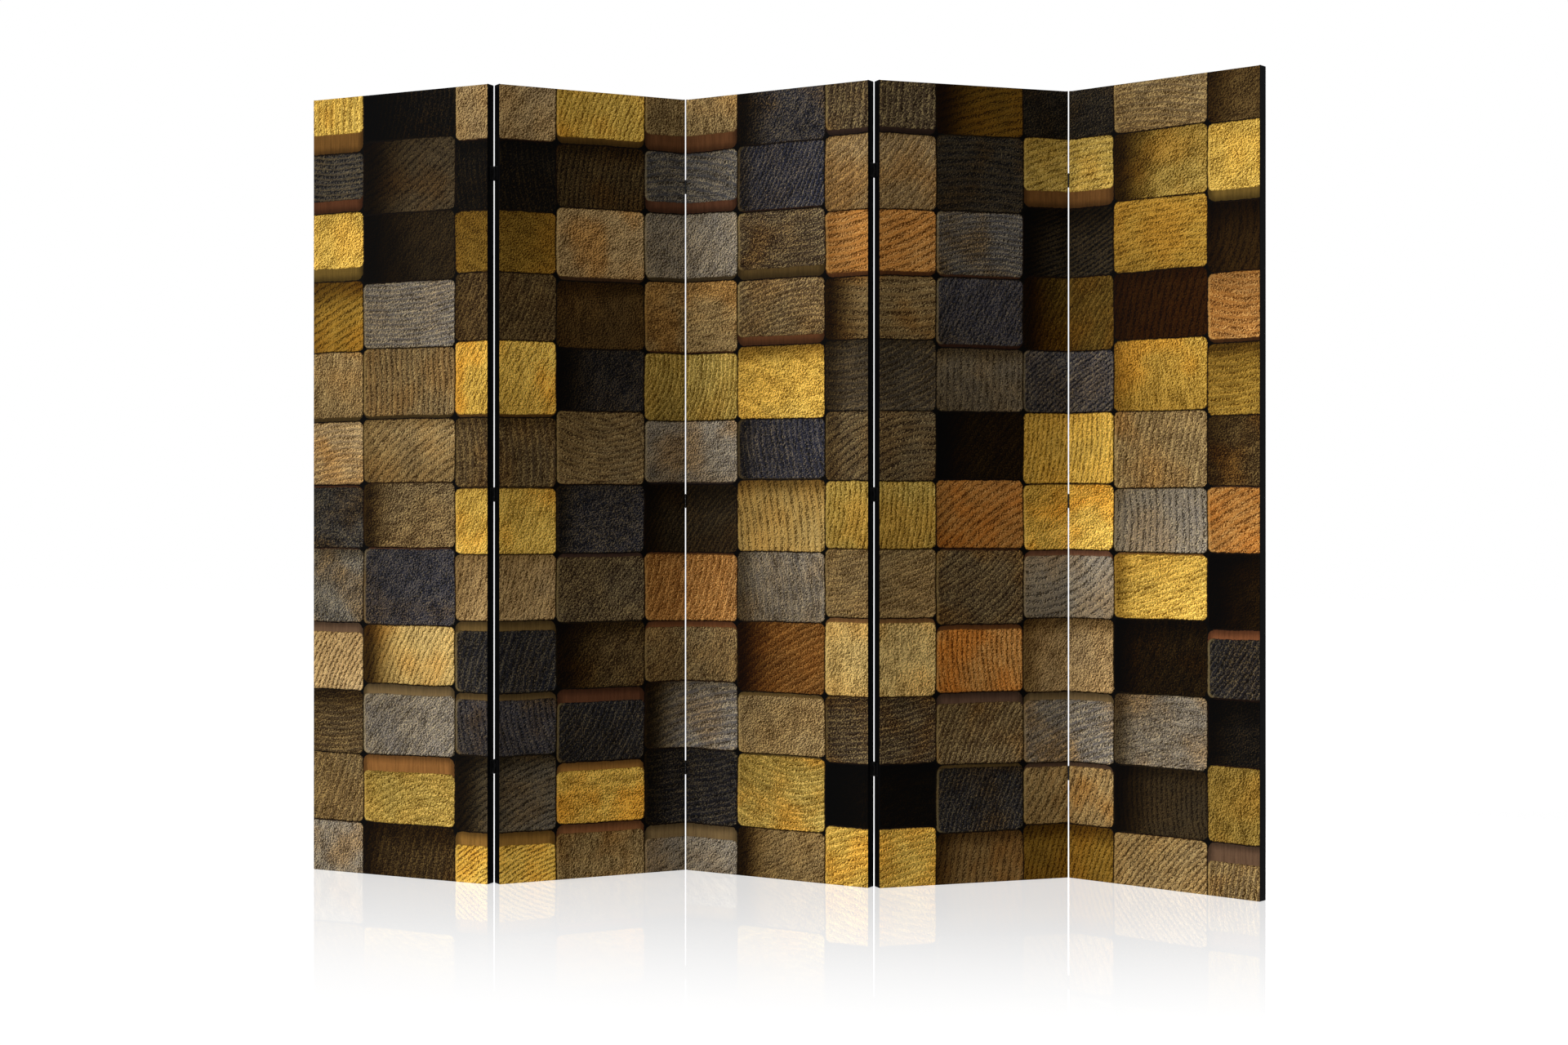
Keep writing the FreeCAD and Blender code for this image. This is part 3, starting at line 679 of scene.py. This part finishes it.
def canvasSurface(panel, cut):
    # The cut lies flat on the face, turns over each edge on a small arc, runs down the wall and turns in
    # behind. At a corner the spare square is pinched on its diagonal and laid along the upper or lower edge:
    # the nearer of the two distances past the face runs sideways, the farther one runs down the wall.
    radius = cut["edgeRadius"]
    arc = radius * math.pi / 2
    wall = arc + panel.depth - 2 * radius
    overX, sideX, flatX = clothRun(panel.width, panel.depth, cut)
    overZ, sideZ, flatZ = clothRun(panel.height, panel.depth, cut)
    a, b = np.meshgrid(overX, overZ, indexing="ij")
    turnX, turnZ = np.meshgrid(sideX, sideZ, indexing="ij")
    faceX, faceZ = np.meshgrid(flatX, flatZ, indexing="ij")
    down = np.maximum(a, b)
    rounding = np.clip(down, 0, arc) / radius
    tuck = np.clip(down - wall, 0, arc) / radius
    reach = np.where(down < wall, np.sin(rounding), np.cos(tuck))
    y = radius * (1 - np.cos(rounding)) + np.clip(down - arc, 0, wall - arc) + radius * np.sin(tuck)
    sideways = np.where(a <= b, a - arc * a / np.maximum(b, nearNought), b - arc)
    swing = math.pi / 2 + np.minimum(sideways, 0) / radius
    x = faceX + turnX * np.where(sideways > 0, -sideways, radius * np.cos(swing) * reach)
    z = faceZ + turnZ * radius * np.where(sideways > 0, 1.0, np.sin(swing)) * reach

    # turned-in strips, mitred where they meet
    inX = np.clip(a - wall - arc, 0, None)
    inZ = np.clip(b - wall - arc, 0, None)
    middleX = panel.width / 2
    middleZ = panel.height / 2
    x = x - turnX * inX + (middleX - faceX) * inZ / (middleX - radius)
    z = z - turnZ * inZ + (middleZ - faceZ) * inX / (middleZ - radius)

    # of the pinched square's two layers the outer one lies above; at the foot both are pressed inwards
    layer = np.clip((np.arctan2(a, b) / (math.pi / 2) - cut["foldFrom"]) / cut["foldOver"], 0, 1)
    pressed = cut["pressed"] * (1 + layer * cut["pressedRise"])
    lift = np.where(turnZ > 0, layer, pressed) * np.clip(1 + sideways / arc, 0, 1)
    z = z + cut["thickness"] * np.where((a > 0) & (b > 0), cut["seat"] + cut["rise"] * lift, 0)

    # slight inward bow of the stretched face, with faint pulls towards the corners
    spanX = 1 - np.abs(2 * x / panel.width - 1) ** cut["sagAcross"]
    spanZ = 1 - np.abs(2 * z / panel.height - 1) ** cut["sagUp"]
    pull = sum(np.sin(waveX * x + waveZ * z) for waveX, waveZ in cut["pulls"])
    y = y + np.where(down == 0, (cut["sag"] + cut["ripple"] * pull) * spanX * spanZ, 0)

    cloth = np.stack((faceX + turnX * a, faceZ + turnZ * b), -1)
    printed = (down < cut["printOver"] * arc).astype(float)
    return panel.world(x, y, z), cloth, printed, *cornerCells(overX, overZ, wall + arc)


def cornerCells(overX, overZ, behind):
    # cells to keep, and their creases: what would lie doubled behind the panel is cut away, and cells on the
    # diagonal of a spare square are creased along it, 1 where both runs go the same way, else -1
    behindX = overX > behind - nearNought
    behindZ = overZ > behind - nearNought
    cellBehindX = behindX[1:] & behindX[:-1]
    cellBehindZ = behindZ[1:] & behindZ[:-1]
    cellPastX = np.maximum(overX[1:], overX[:-1]) > 0
    cellPastZ = np.maximum(overZ[1:], overZ[:-1]) > 0
    away = cellBehindX[:, None] & cellPastZ[None, :] | cellPastX[:, None] & cellBehindZ[None, :]

    def alike(first, second):
        return np.isclose(first[:, None], second[None, :])

    rising = alike(overX[:-1], overZ[:-1]) & alike(overX[1:], overZ[1:])
    falling = alike(overX[:-1], overZ[1:]) & alike(overX[1:], overZ[:-1])
    slant = np.sign(np.diff(overX))[:, None] * np.sign(np.diff(overZ))[None, :]
    return ~away, np.where(rising | falling, slant, 0)


creasedCell = {1: ((0, 1, 2), (0, 2, 3)), -1: ((0, 1, 3), (1, 2, 3))}  # two triangles for each slant


def gridMesh(name, points, keep=True, crease=0):
    # quads over a grid of points; cells that aren't kept are left open, creased ones are cut on a diagonal;
    # also gives which points the mesh uses
    rows, columns = points.shape[:2]
    index = np.arange(rows * columns).reshape(rows, columns)
    cells = np.stack((index[:-1, :-1], index[1:, :-1], index[1:, 1:], index[:-1, 1:]), -1)
    keep = np.broadcast_to(keep, cells.shape[:2])
    used, order = np.unique(cells[keep], return_inverse=True)
    cells[keep] = order.reshape(-1, 4)
    faces = cells[keep & (crease == 0)].tolist()
    for slant, triangles in creasedCell.items():
        for corners in triangles:
            faces += cells[keep & (crease == slant)][:, corners].tolist()
    mesh = bpy.data.meshes.new(name)
    mesh.from_pydata(points.reshape(-1, 3)[used], [], faces)
    mesh.shade_smooth()
    return mesh, used


def setCloth(mesh, cloth):
    corners = np.empty(len(mesh.loops), np.int32)
    mesh.loops.foreach_get("vertex_index", corners)
    layer = mesh.uv_layers.new(name="cloth")
    layer.uv.foreach_set("vector", cloth[corners].astype(np.float32).ravel())


def addPiece(name, mesh, material):
    piece = bpy.data.objects.new(name, mesh)
    bpy.context.scene.collection.objects.link(piece)
    mesh.materials.append(material)
    return piece


def giveThickness(piece, thickness):
    shell = piece.modifiers.new("thickness", "SOLIDIFY")
    shell.thickness = thickness
    shell.offset = -1.0  # inwards


canvasMaterial = makeCanvasMaterial(canvasFinish)
panels = [Panel(name) for name in panelNames]
frameBattens = ("left_stile", "right_stile", "top_rail", "bottom_rail")
for order, panel in enumerate(panels):
    points, cloth, printed, keep, crease = canvasSurface(panel, canvasCut)
    mesh, used = gridMesh(f"{panel.name}_canvas", points, keep, crease)
    setCloth(mesh, cloth.reshape(-1, 2)[used] + (order * panel.width, 0.0))
    mark = mesh.attributes.new("printed", "FLOAT", "POINT")
    mark.data.foreach_set("value", printed.ravel()[used].astype(np.float32))
    canvas = addPiece(f"{panel.name}_canvas", mesh, canvasMaterial)
    giveThickness(canvas, canvasCut["thickness"])
    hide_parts(f"{panel.name}_front_canvas")
    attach(canvas, panel.name)
    spare = 2 * (panel.depth + canvasCut["returnWidth"])
    panel.width + spare
    panel.height + spare
print("printed canvases stretched")


# Backing cloth

backingFinish = {
    "sheen": 0.15, "sheenRoughness": 0.6, "dotPitch": 0.0021, "dotEdge": (0.24, 0.36),
    "fibreScale": 900.0, "fibreDetail": 3.0, "fibreRoughness": 0.7,
    "cloudScale": 16.0, "cloudDetail": 3.0, "clouds": (0.3, 0.7),
    "fibreTone": 0.45, "cloudTone": 0.35, "dotTone": 0.20, "dark": (13, 13, 14), "pale": (52, 52, 55),
    "roughness": (0.72, 0.92), "dotRise": 0.6, "fibreRise": 0.4, "bump": 0.35, "bumpDepth": 0.00025,
}
backingCut = {
    "thickness": 0.0005, "hem": 0.012, "hemRise": 0.00020, "hemStep": 0.0025,
    "edgeBand": 0.050, "edgeStep": 0.0025, "fieldStep": 0.012,
    "dimpleRadius": 0.009, "pucker": 0.00012, "puckerReach": 0.030, "puckerPitch": 0.012,
    "sag": 0.0022, "sagReach": 0.045, "drift": 0.0005,
    "drifts": ((1.0, 9, 4, 0.0), (1.0, 5, -6, 1.3), (0.6, 11, 17, 0.0)),  # size, waves across and up, start
}


def makeBackingMaterial(finish):
    # pressed felt-like cloth with a grid of bonded dots
    material, tree, shader = newMaterial(
        "backingCloth", Sheen_Weight=finish["sheen"], Sheen_Roughness=finish["sheenRoughness"],
    )
    cloth = clothPlace(tree)
    u, v, unused = cloth.parts()
    across = u / finish["dotPitch"]
    along = v / finish["dotPitch"]
    shift = along.floor().math("PINGPONG", 1.0) * 0.5
    dotX = (across + shift).math("FRACT") - 0.5
    dotY = along.math("FRACT") - 0.5
    dot = (dotX * dotX + dotY * dotY).root().ramp(*finish["dotEdge"])
    fibre = noiseValue(
        tree, cloth, finish["fibreScale"], detail=finish["fibreDetail"], roughness=finish["fibreRoughness"],
    )
    cloud = noiseValue(tree, cloth, finish["cloudScale"], detail=finish["cloudDetail"])
    cloud = cloud.ramp(*finish["clouds"])
    share = fibre * finish["fibreTone"] + cloud * finish["cloudTone"] + dot * finish["dotTone"]
    colour = mixColour(tree, share, linear(*finish["dark"]), linear(*finish["pale"]))
    feed(shader.inputs["Base Color"], colour)
    feed(shader.inputs["Roughness"], fibre.span(*finish["roughness"]))
    bumpFrom(tree, shader, dot * finish["dotRise"] + fibre * finish["fibreRise"], finish)
    return material


def bandedRun(length, cut):
    # fine steps near both ends, coarse ones between
    fine = np.linspace(0, cut["edgeBand"], round(cut["edgeBand"] / cut["edgeStep"]) + 1)
    field = length - 2 * cut["edgeBand"]
    coarse = cut["edgeBand"] + np.linspace(0, field, round(field / cut["fieldStep"]) + 1)
    return np.concatenate((fine, coarse[1:-1], length - fine[::-1]))


def offBattens(panel, x, z):
    # distance from the nearest batten, nought on one, from each batten's low and high corner
    battens = {part: panel.extent(f"{panel.name}_{part}") for part in (*frameBattens, "middle_rail")}
    fromSides = np.minimum(x - battens["left_stile"][1][0], battens["right_stile"][0][0] - x)
    fromEnds = np.minimum(z - battens["bottom_rail"][1][2], battens["top_rail"][0][2] - z)
    fromMiddle = np.maximum(battens["middle_rail"][0][2] - z, z - battens["middle_rail"][1][2])
    return np.clip(np.minimum(np.minimum(fromSides, fromEnds), fromMiddle), 0, None)


def backingSurface(panel, cut):
    # A flat sheet with a doubled hem, pressed down under each staple and puckered between staples.
    # Off the battens it sinks in, by a depth that dies away towards the nearest batten as a bell curve.
    low, high = panel.extent(f"{panel.name}_back_cover")
    width, height = high[0] - low[0], high[2] - low[2]
    s, t = np.meshgrid(bandedRun(width, cut), bandedRun(height, cut), indexing="ij")
    x = low[0] + s
    z = low[2] + t
    edge = np.minimum(np.minimum(s, width - s), np.minimum(t, height - t))
    doubled = np.clip((cut["hem"] - edge) / cut["hemStep"] + 0.5, 0, 1)
    crowns = panel.local(nodePoints(f"{panel.name}_staples"))
    crowns = crowns[crowns[:, 1] > high[1]]  # points of the staples outside the cloth
    away = np.hypot(x[..., None] - crowns[:, 0], z[..., None] - crowns[:, 2]).min(-1)
    free = 1 - np.exp(-(away / cut["dimpleRadius"]) ** 2)
    fade = np.exp(-(edge / cut["puckerReach"]) ** 2) * np.clip(edge / cut["hem"], 0, 1)
    pucker = cut["pucker"] * fade * (1 + np.sin(away / cut["puckerPitch"]))
    sunk = 1 - np.exp(-(offBattens(panel, x, z) / cut["sagReach"]) ** 2)
    drift = sum(size * np.sin(waveX * x + waveZ * z + start) for size, waveX, waveZ, start in cut["drifts"])
    y = high[1] + free * (cut["hemRise"] * doubled + pucker) - sunk * (cut["sag"] + cut["drift"] * drift)
    return panel.world(x, y, z), np.stack((s, t), -1), (width, height)


backingMaterial = makeBackingMaterial(backingFinish)
for panel in panels:
    points, cloth, (width, height) = backingSurface(panel, backingCut)
    mesh = gridMesh(f"{panel.name}_backing", points[:, ::-1])[0]  # reversed, so that it faces backwards
    setCloth(mesh, cloth[:, ::-1].reshape(-1, 2))
    backing = addPiece(f"{panel.name}_backing", mesh, backingMaterial)
    giveThickness(backing, backingCut["thickness"])
    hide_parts(f"{panel.name}_back_cover")
    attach(backing, panel.name)
    hems = 2 * backingCut["hem"]
    width + hems
    height + hems
print("backing cloths laid on")


# Battens, hinges and staples keep their nodes and get their finishes

pineFinish = {
    "early": (222, 190, 146), "late": (178, 134, 84),
    "roughness": (0.55, 0.80), "bump": 0.2, "bumpDepth": 0.0003,
    "drawnOut": {"pineUpright": (1.0, 0.05), "pineCross": (0.05, 1.0)},  # scale across and up
}
metalFinish = {
    "bareShare": 0.5, "dulling": 0.3, "grainRise": 0.7, "scratchRise": -0.3,
    "bump": 0.15, "bumpDepth": 0.0001,
    "coats": {
        "blackHinge": {
            "coat": (16, 16, 17), "bare": (110, 108, 105),
            "scale": 260.0, "roughness": 0.34, "metal": 0.1, "gloss": 0.25,
        },
        "pinSteel": {
            "coat": (36, 36, 38), "bare": (150, 148, 145),
            "scale": 420.0, "roughness": 0.22, "metal": 0.8, "gloss": 0.5,
        },
        "blackScrew": {
            "coat": (20, 20, 21), "bare": (130, 128, 124),
            "scale": 420.0, "roughness": 0.30, "metal": 0.4, "gloss": 0.35,
        },
        "stapleWire": {
            "coat": (168, 170, 172), "bare": (205, 205, 205),
            "scale": 600.0, "roughness": 0.25, "metal": 1.0, "gloss": 0.5,
        },
    },
}
nodeFinish = {
    "stile": "pineUpright", "rail": "pineCross", "staples": "stapleWire",
    "screws": "blackScrew", "leaves": "blackHinge", "pins": "pinSteel",
}


def makePine(name, finish):
    # bare planed pine, its grain drawn out along the batten
    material, tree, shader = newMaterial(name)
    across, up = finish["drawnOut"][name]
    grain = useGroup(tree, pineGrain, Place=objectPlace(tree), Across=across, Up=up)
    colour = mixColour(tree, grain["Dark"], linear(*finish["early"]), linear(*finish["late"]))
    feed(shader.inputs["Base Color"], colour)
    feed(shader.inputs["Roughness"], grain["Pores"].span(*finish["roughness"]))
    bumpFrom(tree, shader, grain["Dark"], finish)
    return material


def makeCoatedMetal(name, finish):
    # painted or blackened metal, dull in patches, bare along scratches
    own = finish["coats"][name]
    material, tree, shader = newMaterial(name, Specular_IOR_Level=own["gloss"], Metallic=own["metal"])
    wear = useGroup(tree, scuffs, Place=objectPlace(tree), Scale=own["scale"])
    bareShare = wear["Scratch"] * finish["bareShare"]
    feed(shader.inputs["Base Color"], mixColour(tree, bareShare, linear(*own["coat"]), linear(*own["bare"])))
    feed(shader.inputs["Roughness"], wear["Patch"] * finish["dulling"] + own["roughness"])
    if own["metal"] < 1.0:
        feed(shader.inputs["Metallic"], wear["Scratch"].span(own["metal"], 1.0))
    relief = wear["Grain"] * finish["grainRise"] + wear["Scratch"] * finish["scratchRise"]
    bumpFrom(tree, shader, relief, finish)
    return material


finishes = {name: makePine(name, pineFinish) for name in pineFinish["drawnOut"]}
finishes |= {name: makeCoatedMetal(name, metalFinish) for name in metalFinish["coats"]}
for name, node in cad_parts.items():
    ending = name.rsplit("_", 1)[1]
    if ending in nodeFinish:
        node.material_slots[0].material = finishes[nodeFinish[ending]]
print("battens, hinges and staples finished")


# Stage, light and camera

stageSet = {
    "floorSize": 30.0, "floorTone": 0.45, "floorLift": 0.76,
    "mirror": 0.27, "mirrorGain": 1.9, "mirrorReach": 1.45, "ambient": 0.42,
    "lamps": (  # where each shines from, how wide it looks in degrees, and its strength
        ("leftLamp", (-5.0, -3.4, 1.3), 35.0, 2.3),
        ("backLamp", (1.5, 5.0, 3.0), 60.0, 0.5),
    ),
}


def grey(tone):
    return (tone, tone, tone, 1.0)


def seenDirectly(tree):
    # 1 for what the camera sees straight on, in gloss or through glass
    path = addNode(tree, "ShaderNodeLightPath")
    seen = Wire(tree, path.outputs["Is Camera Ray"])
    for label in ("Is Glossy Ray", "Is Transmission Ray"):
        seen = seen.most(Wire(tree, path.outputs[label]))
    return seen


def makeFloor(settings):
    # white floor that keeps the shadow, with a faint reflection that dies away from the screen
    half = settings["floorSize"] / 2
    corners = np.array((((-half, -half, 0.0), (-half, half, 0.0)), ((half, -half, 0.0), (half, half, 0.0))))
    mesh = gridMesh("floor", corners)[0]
    material = bpy.data.materials.new("paleFloor")
    material.use_nodes = True
    tree = material.node_tree
    tree.nodes.clear()
    diffuse = addNode(tree, "ShaderNodeBsdfDiffuse")
    diffuse.inputs["Color"].default_value = grey(settings["floorTone"])
    lift = addNode(tree, "ShaderNodeEmission")
    feed(lift.inputs["Strength"], seenDirectly(tree) * settings["floorLift"])
    gloss = addNode(tree, "ShaderNodeBsdfGlossy")
    gloss.inputs["Color"].default_value = grey(settings["mirrorGain"])
    gloss.inputs["Roughness"].default_value = 0.0
    pale = addNode(tree, "ShaderNodeAddShader")
    whole = addNode(tree, "ShaderNodeMixShader")
    result = addNode(tree, "ShaderNodeOutputMaterial")
    depth = objectPlace(tree).parts()[1]
    feed(whole.inputs[0], abs(depth).ramp(settings["mirrorReach"], 0.0) * settings["mirror"])
    tree.links.new(diffuse.outputs[0], pale.inputs[0])
    tree.links.new(lift.outputs[0], pale.inputs[1])
    tree.links.new(pale.outputs[0], whole.inputs[1])
    tree.links.new(gloss.outputs[0], whole.inputs[2])
    tree.links.new(whole.outputs[0], result.inputs["Surface"])
    addPiece("floor", mesh, material)


def lightStage(settings):
    # white to the eye, dimmer as a light, with two broad lamps
    world = bpy.data.worlds.new("paleRoom")
    bpy.context.scene.world = world
    world.use_nodes = True
    tree = world.node_tree
    sky = tree.nodes["Background"]
    sky.inputs["Color"].default_value = grey(1.0)
    feed(sky.inputs["Strength"], seenDirectly(tree).span(settings["ambient"], 1.0))
    for name, (x, y, z), spread, strength in settings["lamps"]:
        data = bpy.data.lights.new(name, "SUN")
        data.angle = math.radians(spread)
        data.energy = strength
        lamp = bpy.data.objects.new(name, data)
        lamp.location = (x, y, z)  # turned towards the origin
        lamp.rotation_euler = (math.atan2(math.hypot(x, y), z), 0.0, math.atan2(x, -y))
        bpy.context.scene.collection.objects.link(lamp)


cameraSet = {
    "lens": 52.9, "sensor": 36.0, "eyeHeight": 0.824,
    "turn": 11.88,  # degrees to the left of straight on
    "footRight": -0.6686, "footAway": 5.155,  # first panel's front foot as the camera sees it
    "axisX": 750.0, "axisY": 613.6, "imageWidth": 1920, "imageHeight": 1280,  # pixels
}


def setCamera(settings, foot):
    # level camera; the lens is shifted so that its axis meets the picture at the given pixel
    turn = math.radians(settings["turn"])
    right = np.array((math.cos(turn), math.sin(turn)))
    forward = np.array((-math.sin(turn), math.cos(turn)))
    stand = foot[:2] - settings["footRight"] * right - settings["footAway"] * forward
    data = bpy.data.cameras.new("camera")
    data.sensor_width = settings["sensor"]
    data.lens = settings["lens"]
    data.shift_x = 0.5 - settings["axisX"] / settings["imageWidth"]
    data.shift_y = (settings["axisY"] - settings["imageHeight"] / 2) / settings["imageWidth"]
    camera = bpy.data.objects.new("camera", data)
    camera.location = (*stand, settings["eyeHeight"])
    camera.rotation_euler = (math.pi / 2, 0.0, turn)
    bpy.context.scene.collection.objects.link(camera)
    bpy.context.scene.camera = camera


makeFloor(stageSet)
lightStage(stageSet)
setCamera(cameraSet, panels[0].foot)
bpy.context.scene.view_settings.view_transform = "Standard"
print("stage, lamps and camera set")
